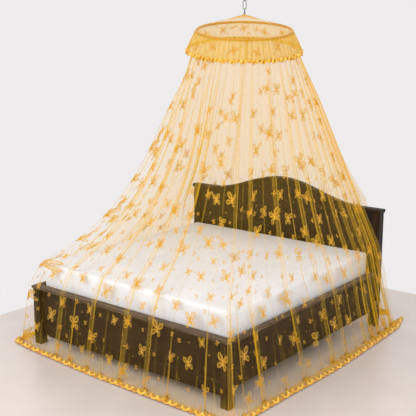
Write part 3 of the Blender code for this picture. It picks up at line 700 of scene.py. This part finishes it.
# the embroidery: butterflies, sprigs and dots, worked on the net in close stitching
motifLook = {
    "wingUpper": [(0.02, 0.04), (0.07, 0.22), (0.16, 0.40), (0.28, 0.50),
                  (0.39, 0.47), (0.41, 0.30), (0.34, 0.12), (0.18, 0.00)],
    "wingLower": [(0.03, -0.06), (0.16, -0.04), (0.28, -0.10), (0.34, -0.24),
                  (0.31, -0.40), (0.19, -0.46), (0.08, -0.30)],
    "body": (8, 0.075, 0.24, -0.04),     # corners, half its width and height, how far it is up
    "feeler": [(0.0, 0.16), (0.035, 0.15), (0.15, 0.47), (0.12, 0.48)],
    "leaf": [(0.0, 0.0), (0.55, 1.0), (1.0, 0.0), (0.55, -1.0)],
    "leaves": [(54, 0.52, 0.13), (126, 0.52, 0.13), (234, 0.44, 0.12), (306, 0.44, 0.12)],
    "dot": (6, 0.5, 0.5, 0.0),
    "rimShare": 0.64,
    "rimShift": 0.10,                    # how far out the open filling lies, to the wing's tip
    "lift": 0.0012,
    "tileWidth": 0.615,
    "tileLength": 0.64,
    "tileShift": 0.37,                   # each column of tiles starts this much further down
    "hoopClear": 0.16,                   # metres of plain net at the hoop, the hem and the slit
    "hemClear": 0.03,
    "slitClear": 0.06,
    "kept": [(200, 0.30), (235, 1.65)],  # share of the motifs that gathered net keeps, by the turn
    "keptFrom": 0.9,                     # and the way down from where it keeps more
    "smallFrom": 0.62,                   # no sprigs and dots above this way down
    # how wide and how high a motif is, by the way down
    "widths": [(0.0, 0.80), (0.25, 0.86), (0.6, 0.94), (0.95, 1.0)],
    "heights": [(0.0, 0.80), (0.4, 1.0)],
    # kind, across and down the tile, height, tilt
    "chart": [
        ("butterfly", 0.17, 0.13, 0.114, 12), ("butterfly", 0.68, 0.60, 0.110, -10),
        ("butterfly", 0.55, 0.16, 0.088, -16), ("butterfly", 0.18, 0.58, 0.092, 18),
        ("butterfly", 0.90, 0.34, 0.084, 6), ("butterfly", 0.43, 0.87, 0.082, -6),
        ("butterfly", 0.36, 0.38, 0.066, 8), ("butterfly", 0.92, 0.88, 0.070, -18),
        ("sprig", 0.37, 0.06, 0.042, 0), ("sprig", 0.76, 0.14, 0.036, 20),
        ("sprig", 0.04, 0.34, 0.040, 12), ("sprig", 0.60, 0.38, 0.044, -25),
        ("sprig", 0.42, 0.64, 0.036, 10), ("sprig", 0.92, 0.64, 0.040, 0),
        ("sprig", 0.20, 0.86, 0.044, 30), ("sprig", 0.66, 0.88, 0.036, -10),
        ("dot", 0.30, 0.21, 0.010, 0), ("dot", 0.66, 0.27, 0.010, 0), ("dot", 0.18, 0.36, 0.009, 0),
        ("dot", 0.77, 0.40, 0.008, 0), ("dot", 0.50, 0.50, 0.010, 0), ("dot", 0.04, 0.52, 0.009, 0),
        ("dot", 0.54, 0.75, 0.009, 0), ("dot", 0.07, 0.74, 0.010, 0), ("dot", 0.30, 0.95, 0.009, 0),
        ("dot", 0.78, 0.97, 0.008, 0),
    ],
}
goldenShare = 0.618                      # its multiples, less their whole numbers, spread evenly


def counterClockwise(points, order):
    pairs = zip(order, (*order[1:], order[0]))
    area = sum(points[i][0] * points[j][1] - points[j][0] * points[i][1] for i, j in pairs)
    return order if area > 0 else order[::-1]


def makeMotifShapes(look):
    # every shape is one unit high: points, faces, and 0 for a rim, 1 for open filling, 2 for a body
    shapes = {kind: ([], [], []) for kind in ("butterfly", "sprig", "dot")}

    def addPatch(kind, outline, finish):
        points, faces, kinds = shapes[kind]
        faces.append(tuple(range(len(points), len(points) + len(outline))))
        points.extend(outline)
        kinds.append(finish)

    def oval(count, wide, high, up):
        turns = [math.tau * i / count for i in range(count)]
        return [(wide * math.cos(turn), up + high * math.sin(turn)) for turn in turns]

    points, faces, kinds = shapes["butterfly"]
    for side, wing in product((1, -1), (look["wingUpper"], look["wingLower"])):
        outer, count, start = np.array(wing), len(wing), len(points)
        middle = outer.mean(axis=0)
        inner = middle * (1 + look["rimShift"]) + (outer - middle) * look["rimShare"]
        points += [(side * x, y) for x, y in (*outer, *inner)]
        for i in range(count):
            j = (i + 1) % count
            faces.append((start + i, start + j, start + count + j, start + count + i))
        faces.append(tuple(range(start + count, start + 2 * count)))
        kinds += [0] * count + [1]
    addPatch("butterfly", oval(*look["body"]), 2)
    for side in (1, -1):
        addPatch("butterfly", [(side * x, y) for x, y in look["feeler"]], 0)
    for turn, long, wide in look["leaves"]:
        c, s = math.cos(math.radians(turn)), math.sin(math.radians(turn))
        addPatch("sprig", [(long * x * c - wide * y * s, long * x * s + wide * y * c)
                           for x, y in look["leaf"]], 0)
    addPatch("dot", oval(*look["dot"]), 0)
    return {kind: (np.array(points), [counterClockwise(points, face) for face in faces], kinds)
            for kind, (points, faces, kinds) in shapes.items()}


motifShapes = makeMotifShapes(motifLook)


def turnedShape(kind, height, tilt):
    x, y = motifShapes[kind][0].T * height
    c, s = math.cos(math.radians(tilt)), math.sin(math.radians(tilt))
    return x * c - y * s, x * s + y * c


def motifOnRing(kind, where, down, height, tilt, radius, length):
    # a motif on a cloth round the hoop, at a turn and a share of the way down
    across, up = turnedShape(kind, height, tilt)
    return kind, where + np.degrees(across / radius), down - up / length


def joinMotifs(name, placed, pointAt):
    # placed: kind, places of its points as (across, down) in the surface's own measure
    faces, kinds, start = [], [], 0
    for kind, across, down in placed:
        faces += [tuple(start + i for i in face) for face in motifShapes[kind][1]]
        kinds += motifShapes[kind][2]
        start += len(across)
    points = pointAt(np.concatenate([item[1] for item in placed]),
                     np.concatenate([item[2] for item in placed]), motifLook["lift"])
    piece = newPiece(name, points, faces, [looseStitching, laceFilling, stitching], kinds)
    finishPiece(piece, "ribbon")
    return piece


def skirtPoint(turn, way, lift):
    out = netDirections(turn, way)[1]
    height = foldHeight(turn, way) + rippleHeight(turn, way) + lift
    points = smoothNet(turn, way) + out * height[..., None]
    points[..., 2] = np.maximum(points[..., 2], netShape["floorClear"] + lift)
    return points


def makeSkirtMotifs(clothTurns, clothU, clothV, ways):
    look, width, placed = motifLook, clothU[-1], []
    tiles = round(width / look["tileWidth"])
    rows = math.ceil(clothV[-1].max() / look["tileLength"]) + 1
    repeats = product(range(tiles), range(-1, rows), look["chart"])
    for number, (column, row, (kind, x, y, height, tilt)) in enumerate(repeats, 1):
        u = (column + x) * width / tiles
        v = (row + y + look["tileShift"] * (column % 3)) * look["tileLength"]
        turn = np.interp(u, clothU, clothTurns)
        lengths = clothV[:, np.argmin(abs(clothTurns - turn))]
        if v < look["hoopClear"] or v > lengths[-1] - look["hemClear"]:
            continue
        way = np.interp(v, lengths, ways)
        metres = metresPerDegree(turn, way)
        gather = metresPerDegree(turn, netShape["widestWay"]) / metres
        keep = follow(look["kept"], turn) / gather + max(way - look["keptFrom"], 0)
        if (number * goldenShare % 1 > keep or abs(u - width / 2) > width / 2 - look["slitClear"]
                or kind != "butterfly" and way < look["smallFrom"]):
            continue
        across, up = turnedShape(kind, height, tilt)
        across, up = across * follow(look["widths"], way), up * follow(look["heights"], way)
        placed.append((kind, turn + across / metres, np.interp(v - up, lengths, ways)))
    piece = joinMotifs("netEmbroidery", placed, skirtPoint)
    print("embroidery", len(placed), "motifs", len(piece.data.polygons), "faces")
    return piece


netEmbroidery = makeSkirtMotifs(*clothMeasure)


# the roof: a low tent of the same net, gathered to the ferrule
roofLook = {
    "topRadius": 0.007,
    "inset": 0.002,                      # of its edge from the hoop's middle line
    "clear": 0.0012,                     # over the hoop's tube
    "dip": 0.003,
    "columns": 180,
    "rows": 14,
    "pleats": [(0.0022, 45, 1.1, 4)],
    "cover": 0.065,
    "gatherCover": 0.80,
    "edgeCover": 0.35,
    # turn, share of the way down, height, tilt
    "butterflies": [(18, 0.58, 0.070, 20), (62, 0.66, 0.062, -25), (105, 0.55, 0.068, 10),
                    (150, 0.68, 0.064, 30), (196, 0.60, 0.066, -12), (238, 0.64, 0.070, 24),
                    (282, 0.58, 0.064, -28), (328, 0.66, 0.066, 6)],
    "smallCount": 26,                    # a sprig and two dots in turn
    "smallStep": 137.5,                  # degrees from one to the next
}


def roofPoint(turn, share, lift=0.0):
    look, angle = roofLook, np.radians(turn)
    apex = np.array(hoopCentre) + (0.0, 0.0, hoopShape["roofRise"])
    top = apex + look["topRadius"] * np.stack([np.cos(angle), np.sin(angle), 0 * angle], axis=-1)
    rim = onHoop(turn, hoopShape["radius"] - look["inset"], hoopShape["tube"] + look["clear"])
    points = top + (rim - top) * share[..., None]
    pleats = unevenWaves(angle, look["pleats"]) * np.clip(share * 5, 0, 1) * (1 - 0.6 * share)
    points[..., 2] += pleats + lift - look["dip"] * 4 * share * (1 - share)
    return points


def makeRoof():
    look, radius = roofLook, hoopShape["radius"]
    turn, share = np.meshgrid(np.linspace(0, 360, look["columns"], endpoint=False),
                              np.linspace(0, 1, look["rows"]) ** 1.3)
    gathered = np.clip(0.05 / (0.02 + radius * share) - 0.15, 0, 1)
    edge = np.clip((share - 0.95) / 0.05, 0, 1)
    cover = look["cover"] + look["gatherCover"] * gathered + look["edgeCover"] * edge
    piece = newCloth("roofNet", roofPoint(turn, share), netCloth, np.minimum(cover, 0.9),
                     uv=(np.radians(turn) * radius * 1.6, share * 0.4), closed=True)
    finishPiece(piece, "net", "roof_net")
    chart = [("butterfly", *row) for row in look["butterflies"]]
    for k in range(look["smallCount"]):
        where, down = look["smallStep"] * k % 360, 0.35 + 0.5 * (goldenShare * k % 1)
        chart.append(("dot", where, down, 0.010, 0) if k % 3 else ("sprig", where, down, 0.030, 0))
    placed = [motifOnRing(*row, radius * row[2], radius) for row in chart]
    motifs = joinMotifs("roofEmbroidery", placed, roofPoint)


makeRoof()


# the valance: a gathered band of net with a curly ribbon along its lower edge
valanceLook = {
    "drop": 0.134,
    "flare": 0.058,
    "clear": 0.0012,                     # off the hoop's tube
    "pleatDepth": 0.009,
    "pleats": [(0.58, 61, 1.3, 5), (0.42, 97, 2.2, 3)],
    "columns": 720,
    "rows": 14,
    "cover": 0.72,
    "backEase": 0.30,                    # how much more open the band hangs across from its seam
    "gatherCover": 0.28,
    "pleatCover": 0.12,
    "edgeCover": 0.20,
    "seamCover": 0.20,
    "seamTurn": 309.0,
    "seamHalf": 1.6,
    "butterflies": 15,
    "butterflyHeight": 0.066,
    "butterflyTilts": (-30, 18, -8, 26),
    "butterflyPlaces": (0.52, 0.66, 0.45),
    # turn from a butterfly to its sprigs, and their share of the way down
    "sprigs": [(8, 0.30), (-6, 0.78)],
    "sprigHeight": 0.026,
    "motifRadius": 0.43,
    "motifStretch": 1.15,                # butterflies are this much wider here
}

frillLook = {
    "width": 0.034,
    "ruffles": 96,
    "depth": 0.0130,
    "columns": 12,
    "rows": 6,
    "curl": 0.685,                       # degrees
    "tipOut": 0.006,                     # how far out it leans
}

valanceRadius = hoopShape["radius"] + hoopShape["tube"] + valanceLook["clear"]


def valancePoint(turn, share, lift=0.0):
    look = valanceLook
    depth = look["pleatDepth"] * (0.12 + 0.88 * share)
    wave = unevenWaves(np.radians(turn), look["pleats"])
    radius = valanceRadius + look["flare"] * share + depth * (0.5 + 0.5 * wave) + lift
    points = onHoop(turn, radius)
    points[..., 2] -= look["drop"] * share
    return points


def makeValance():
    look, radius = valanceLook, valanceLook["motifRadius"]
    turn, share = np.meshgrid(np.linspace(0, 360, look["columns"], endpoint=False),
                              np.linspace(0, 1, look["rows"]))
    wave = unevenWaves(np.radians(turn), look["pleats"])
    fromSeam = turn - look["seamTurn"]
    cover = look["cover"] - look["backEase"] * np.clip(0.2 - np.cos(np.radians(fromSeam)), 0, 1)
    cover = cover + look["gatherCover"] * np.clip(1 - share / 0.16, 0, 1) ** 1.5
    cover = cover + look["pleatCover"] * np.clip(wave, -0.5, 1)
    cover = cover + look["seamCover"] * np.exp(-(fromSeam / look["seamHalf"]) ** 2)
    cover = cover + look["edgeCover"] * np.clip((share - 0.93) / 0.07, 0, 1)
    piece = newCloth("valanceNet", valancePoint(turn, share), denseNetCloth,
                     np.minimum(cover, 1.0), uv=(np.radians(turn) * 0.9, share * look["drop"]),
                     closed=True)
    finishPiece(piece, "net", "valance")
    placed = []
    for k in range(look["butterflies"]):
        where, down = 360 * (k + 0.3) / look["butterflies"], look["butterflyPlaces"][k % 3]
        placed.append(motifOnRing("butterfly", where, down, look["butterflyHeight"],
                                  look["butterflyTilts"][k % 4], radius / look["motifStretch"],
                                  look["drop"]))
        for shift, lower in look["sprigs"]:
            placed.append(motifOnRing("sprig", where + shift, lower, look["sprigHeight"], 15,
                                      radius, look["drop"]))
    return piece, joinMotifs("valanceEmbroidery", placed, valancePoint)


def makeValanceFrill():
    look, edge = frillLook, valanceLook
    turn = np.linspace(0, 360, look["ruffles"] * look["columns"], endpoint=False)
    angle = np.radians(turn)
    phase = angle * look["ruffles"] + 0.8 * np.sin(angle * 17) + 0.5 * np.sin(angle * 41 + 1)
    uneven = 1 + 0.22 * np.sin(angle * 7) + 0.2 * np.sin(angle * 29 + 2)
    widths = look["width"] * (0.84 + 0.16 * np.sin(phase * 0.37 + 1) - 0.16 * np.cos(2 * phase))
    rows, paintedShadeTone = [], []
    for share in np.linspace(0, 1, look["rows"]):
        twist = phase + 2.0 * share
        swing = look["depth"] * np.sin(twist) * uneven * (0.12 + 0.88 * share ** 0.8)
        curl = look["curl"] * share * np.sin(2 * phase)
        radius = valanceRadius + edge["flare"] + edge["pleatDepth"] / 2 + look["tipOut"] * share
        points = onHoop(turn + curl, radius + swing)
        points[..., 2] -= edge["drop"] + 0.001 + widths * share
        rows.append(points)
        # painted light on the ruffles: painted glints along their turned faces and painted shade
        # between them, which the ribbon material reads as its tint
        paintedShadeTone.append(0.36 + 0.30 * np.sin(1.4 * twist) * np.sin(phase * 0.31 + 2)
                    + 0.28 * np.sin(phase * 0.73 + 3 * share))
    piece = newCloth("valanceFrill", np.array(rows), ribbon, paintedShadeTone, closed=True)
    finishPiece(piece, "ribbon", "valance_frill")
    return piece


valance, valanceMotifs = makeValance()
valanceFrill = makeValanceFrill()
print("roof and valance done")


# the hem's ribbon: loops that stand on the floor round the net's edge
hemLook = {
    "width": 0.036,
    "ruffle": 0.056,
    "columns": 14,
    "rows": 7,
    "height": 0.033,
    "dip": 0.50,                         # how much lower the ribbon lies between two loops
    "curl": 0.012,
    "clear": 0.0006,                     # outside the net's edge
    "floorClear": 0.0014,
}


def makeHemFrill():
    look = hemLook
    edge = smoothNet(np.linspace(firstTurn, lastTurn, 2400), 4.0)
    places = runningLength(edge)
    length = places[-1]
    ruffles = round(length / look["ruffle"])
    along = np.linspace(0, length, ruffles * look["columns"] + 1)
    line = np.stack([np.interp(along, places, edge[:, k]) for k in range(3)], axis=-1)
    forward = unit(np.gradient(line, axis=0))
    outward = np.stack([forward[:, 1], -forward[:, 0], 0 * along], axis=-1)
    phase = math.tau * ruffles * along / length + 0.45 * np.sin(along * 9.0)
    uneven = 1 + 0.22 * np.sin(along * 5.3 + 1.0)
    wave = 0.5 - 0.5 * np.cos(phase)
    rows, paintedShadeTone = [], []
    for share in np.linspace(0, 1, look["rows"]):
        # each loop of the ribbon stands up from the hem, rolls over outwards and comes down again
        rise = math.sin(math.pi * 0.86 * share) * (1 - look["dip"] * (1 - wave))
        reach = look["clear"] + look["width"] * share * (0.78 + 0.22 * np.cos(phase))
        curl = look["curl"] * share * np.sin(phase) * uneven
        points = line + outward * reach[:, None] + forward * curl[:, None]
        points[:, 2] = look["floorClear"] + look["height"] * uneven * rise
        rows.append(points)
        # painted shade at the ribbon's foot and between its loops, and lighter painted tone on the
        # loops' tops, which the ribbon material reads as its tint
        paintedShadeTone.append(0.10 + 0.75 * wave * rise + 0.22 * np.sin(phase * 0.43 + 5 * share))
    piece = newCloth("hemFrill", np.array(rows), ribbon, paintedShadeTone)
    finishPiece(piece, "ribbon", "hem_frill")
    print("hem ribbon", ruffles, "ruffles over", round(length, 2))


makeHemFrill()


# the hoop, bound with ribbon
bindingLook = {
    "turns": 150,
    "columns": 900,
    "sides": 12,
    "ridge": 0.0007,
    # the binding's cover is painted light: a base tone, painted highlights on the ribbon's ridges
    # with painted shade in its grooves, and lighter on the hoop's upper side as painted light from
    # above
    "cover": (0.01, 0.13, 0.14),         # all over, on the ridges, and on the upper side
}


def makeHoopBinding():
    look = bindingLook
    turn, around = np.meshgrid(np.linspace(0, 360, look["columns"], endpoint=False),
                               np.linspace(0, math.tau, look["sides"], endpoint=False),
                               indexing="ij")
    wrap = np.sin(np.radians(turn) * look["turns"] + around + 0.8 * np.sin(np.radians(turn) * 23))
    tube = hoopShape["tube"] - look["ridge"] + look["ridge"] * wrap
    points = onHoop(turn, hoopShape["radius"] + tube * np.cos(around), tube * np.sin(around))
    # painted shade in the grooves and on the lower side, painted highlights on the ridges and on
    # the upper side
    flat, ridges, upper = look["cover"]
    piece = newCloth("hoopBinding", points, ribbon, flat + ridges * wrap + upper * np.sin(around),
                     closed=True, closedRows=True)
    finishPiece(piece, "ribbon", "hoop")


makeHoopBinding()
print("hoop bound")


# the mattress in its white cover
mattressLook = {
    "rounding": 0.026,
    "roundSteps": 4,
    "step": 0.022,
    "crown": 0.006,
    "wrinkle": 0.0022,
    "bulge": 0.003,
}


def boxPlaces(half, look):
    # places across one side of the box, close together where it rounds over
    inner = half - look["rounding"]
    steps = np.arange(1, look["roundSteps"] + 1) / look["roundSteps"]
    rounded = inner + look["rounding"] * np.sin(np.pi / 2 * steps)
    count = max(int(2 * inner / look["step"]), 2)
    return np.concatenate([-rounded[::-1], np.linspace(-inner, inner, count + 1), rounded])


def makeMattress():
    look = mattressLook
    centre = np.array((mattressLow + mattressHigh) / 2)
    half = np.array((mattressHigh - mattressLow) / 2) - (look["bulge"], look["bulge"], 0)
    inner = half - look["rounding"]
    places = [boxPlaces(h, look) for h in half]
    points, faces = np.empty((0, 3)), []
    for axis, side in product(range(3), (-1, 1)):
        first, second = (axis + 1) % 3, (axis + 2) % 3
        a, b = np.meshgrid(places[first], places[second], indexing="ij")
        grid = np.empty((*a.shape, 3))
        grid[..., axis], grid[..., first], grid[..., second] = side * half[axis], a, b
        faces += [face[::-side] for face in gridFaces(*a.shape, start=len(points))]
        points = np.concatenate([points, grid.reshape(-1, 3)])
    core = np.clip(points, -inner, inner)
    points = core + unit(points - core) * look["rounding"]

    # a low dome with soft wrinkles on top, and sides that swell out
    x, y = points[:, 0] + 0.3, points[:, 1]
    dome = np.prod(np.cos(points[:, :2] / half[:2] * np.pi / 2), axis=1)
    wrinkle = np.sin(9 * x + 3 * np.sin(4 * y)) * np.sin(5 * y + 2 * np.sin(6 * x + 1)) * 0.5
    wrinkle += np.sin(23 * x + 11 * y + 2 * np.sin(7 * y)) * 0.25
    shape = look["crown"] * (np.clip(dome, 0, 1) ** 0.5 - 1) + look["wrinkle"] * (wrinkle - 0.8)
    points[:, 2] += np.clip(points[:, 2] / half[2], 0, 1) ** 2 * shape
    height = points[:, 2] / half[2]
    for axis in (0, 1):
        outer = np.clip((abs(points[:, axis]) - inner[axis]) / look["rounding"], 0, 1)
        waves = 0.4 * np.sin(7 * points[:, 1 - axis] + 3 * height)
        swell = look["bulge"] * (0.6 * np.cos(height * np.pi / 2) + waves)
        points[:, axis] += np.sign(points[:, axis]) * outer * swell
    points[:, 2] = np.minimum(points[:, 2], half[2])
    piece = newPiece("mattressCover", points + centre, faces, [cotton])
    turnFacesOut(piece)
    finishPiece(piece, "ticking", "mattress")


makeMattress()
print("mattress done")


# the headboard's moulded top, with a thin bead below it on the panel
crownLook = {
    "reach": 0.998,
    "shoulder": 0.975,
    "rise": 0.165,
    "flat": 0.78,                        # the shoulders are level from here outwards
    "front": 2.02,
    "depth": 0.07,
    "steps": 96,
    # across and up the moulding's section
    "section": [(-0.036, 0.0), (-0.036, 0.005), (-0.041, 0.009), (-0.043, 0.014), (-0.043, 0.021),
                (-0.040, 0.027), (-0.034, 0.031), (-0.026, 0.032), (0.026, 0.032), (0.034, 0.031),
                (0.040, 0.027), (0.043, 0.021), (0.043, 0.014), (0.041, 0.009), (0.036, 0.005),
                (0.036, 0.0)],
    "beadDrop": 0.052,
    "beadReach": 0.84,
    "beadForward": 0.012,
    "bead": [(0.0, 0.006), (-0.004, 0.0045), (-0.0055, 0.0), (-0.004, -0.0045), (0.0, -0.006)],
}


def sweepAcross(points, faces, xs, heights, middleY, section):
    # a closed section carried along x, its height following a line, with flat ends
    count, start = len(section), len(points)
    for x, z in zip(xs, heights):
        points += [(x + bedShift.x, middleY + y + bedShift.y, z + up) for y, up in section]
    faces += [(a, d, c, b) for a, b, c, d in gridFaces(len(xs), count, closed=True, start=start)]
    faces += [range(start + count - 1, start - 1, -1), range(len(points) - count, len(points))]


def makeCrown():
    look = crownLook
    xs = np.linspace(-look["reach"], look["reach"], look["steps"] + 1)
    arch = 1 + np.cos(np.pi * np.minimum(abs(xs) / look["flat"], 1))
    heights = look["shoulder"] + look["rise"] * arch / 2
    middleY = look["front"] + look["depth"] / 2
    points, faces = [], []
    sweepAcross(points, faces, xs, heights, middleY, look["section"])
    inner = abs(xs) <= look["beadReach"]
    sweepAcross(points, faces, xs[inner], heights[inner] - look["beadDrop"],
                middleY - look["beadForward"], look["bead"])
    piece = newPiece("headboardCrown", points, [tuple(face) for face in faces], [timberAcross])
    turnFacesOut(piece)
    bpy.ops.object.shade_smooth_by_angle(angle=math.radians(40))
    finishPiece(piece, "timber", "headboard_crown")


makeCrown()

carriedOver = {
    timberAcross: ["footboard_panel", "footboard_rail", "headboard_panel", "base_board"],
    timberAlong: ["side_rail_left", "side_rail_right"],
    cappingAcross: ["footboard_cap"],
    cappingAlong: ["side_rail_cap_left", "side_rail_cap_right"],
    timberUpright: ["foot_post_left", "foot_post_right", "head_post_left", "head_post_right"],
    steel: ["ferrule", "chain_link_lower", "chain_link_upper", "ceiling_plate", "ceiling_hook"],
}
for material, names in carriedOver.items():
    for name in names:
        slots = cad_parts[name].data.materials
        slots.clear()
        slots.append(material)
print("bed and chain done")


# floor, lights and camera
stageLook = {
    "left": -1.72,                       # the floor's far edges, in the bed's frame
    "back": 3.05,
    "reach": 12.0,
    "tint": [(0.3, (0.66, 0.56, 0.495)), (0.7, (0.71, 0.61, 0.545))],
    "roughness": 0.28,
    "background": (0.855, 0.838, 0.845, 1.0),
    "roomLight": (0.92, 0.945, 0.99, 1.0),
    "roomStrength": 0.97,
    # name, place, where it aims, size, power
    "lights": [("window light", (-1.6, -5.0, 2.7), (-0.2, 0.8, 1.3), (3.5, 2.6), 100),
               ("room light", (4.2, -2.4, 3.0), (-0.2, 0.8, 1.2), (3.0, 3.0), 66)],
}


def makeStage():
    look = stageLook
    left, back = look["left"] + bedShift.x, look["back"] + bedShift.y
    right, front = left + look["reach"], back - look["reach"]
    material, tree, shader = newMaterial("pale floor")
    speck = addNoise(tree, "Object", (1.0, 1.0, 1.0), Scale=3.0, Detail=4.0)
    setValues(tree, shader, {"Base Color": addRamp(tree, speck, look["tint"]),
                             "Roughness": look["roughness"]})
    corners = [(left, front, 0), (right, front, 0), (right, back, 0), (left, back, 0)]
    stage = newPiece("floor", corners, [(0, 1, 2, 3)], [material])
    stage.data.shade_flat()


def makeWorld():
    # what the camera sees behind the object, and apart from it the light of the room
    look = stageLook
    world = bpy.data.worlds.new("room")
    world.use_nodes = True
    tree = world.node_tree
    light = setValues(tree, tree.nodes["Background"],
                      {"Color": look["roomLight"], "Strength": look["roomStrength"]})
    behind = addNode(tree, "Background", Color=look["background"], Strength=1.0)
    mix = addNode(tree, "MixShader", addNode(tree, "LightPath"), light, behind)
    setValues(tree, tree.nodes["World Output"], {"Surface": mix})
    bpy.context.scene.world = world


def addAreaLight(name, place, aim, size, power):
    light = bpy.data.lights.new(name, "AREA")
    light.shape = "RECTANGLE"
    light.size, light.size_y = size
    light.energy = power
    lamp = addToScene(name, light)
    lamp.location = place
    lamp.rotation_euler = (Vector(aim) - Vector(place)).to_track_quat("-Z", "Y").to_euler()


cameraLook = {
    "place": (3.88, -3.86, 2.384),       # in the bed's frame
    "pitch": 12.0,
    "yaw": 38.6,
    "lens": 69.23,
}


def makeCamera():
    look = cameraLook
    camera = bpy.data.cameras.new("camera")
    camera.lens = look["lens"]
    camera.sensor_width = 36.0
    eye = addToScene("camera", camera)
    eye.location = Vector(look["place"]) + bedShift
    eye.rotation_euler = (math.radians(90 - look["pitch"]), 0, math.radians(look["yaw"]))
    bpy.context.scene.camera = eye


makeStage()
for light in stageLook["lights"]:
    addAreaLight(*light)
makeWorld()
bpy.context.scene.cycles.transparent_max_bounces = 32
bpy.context.scene.view_settings.view_transform = "Standard"
makeCamera()
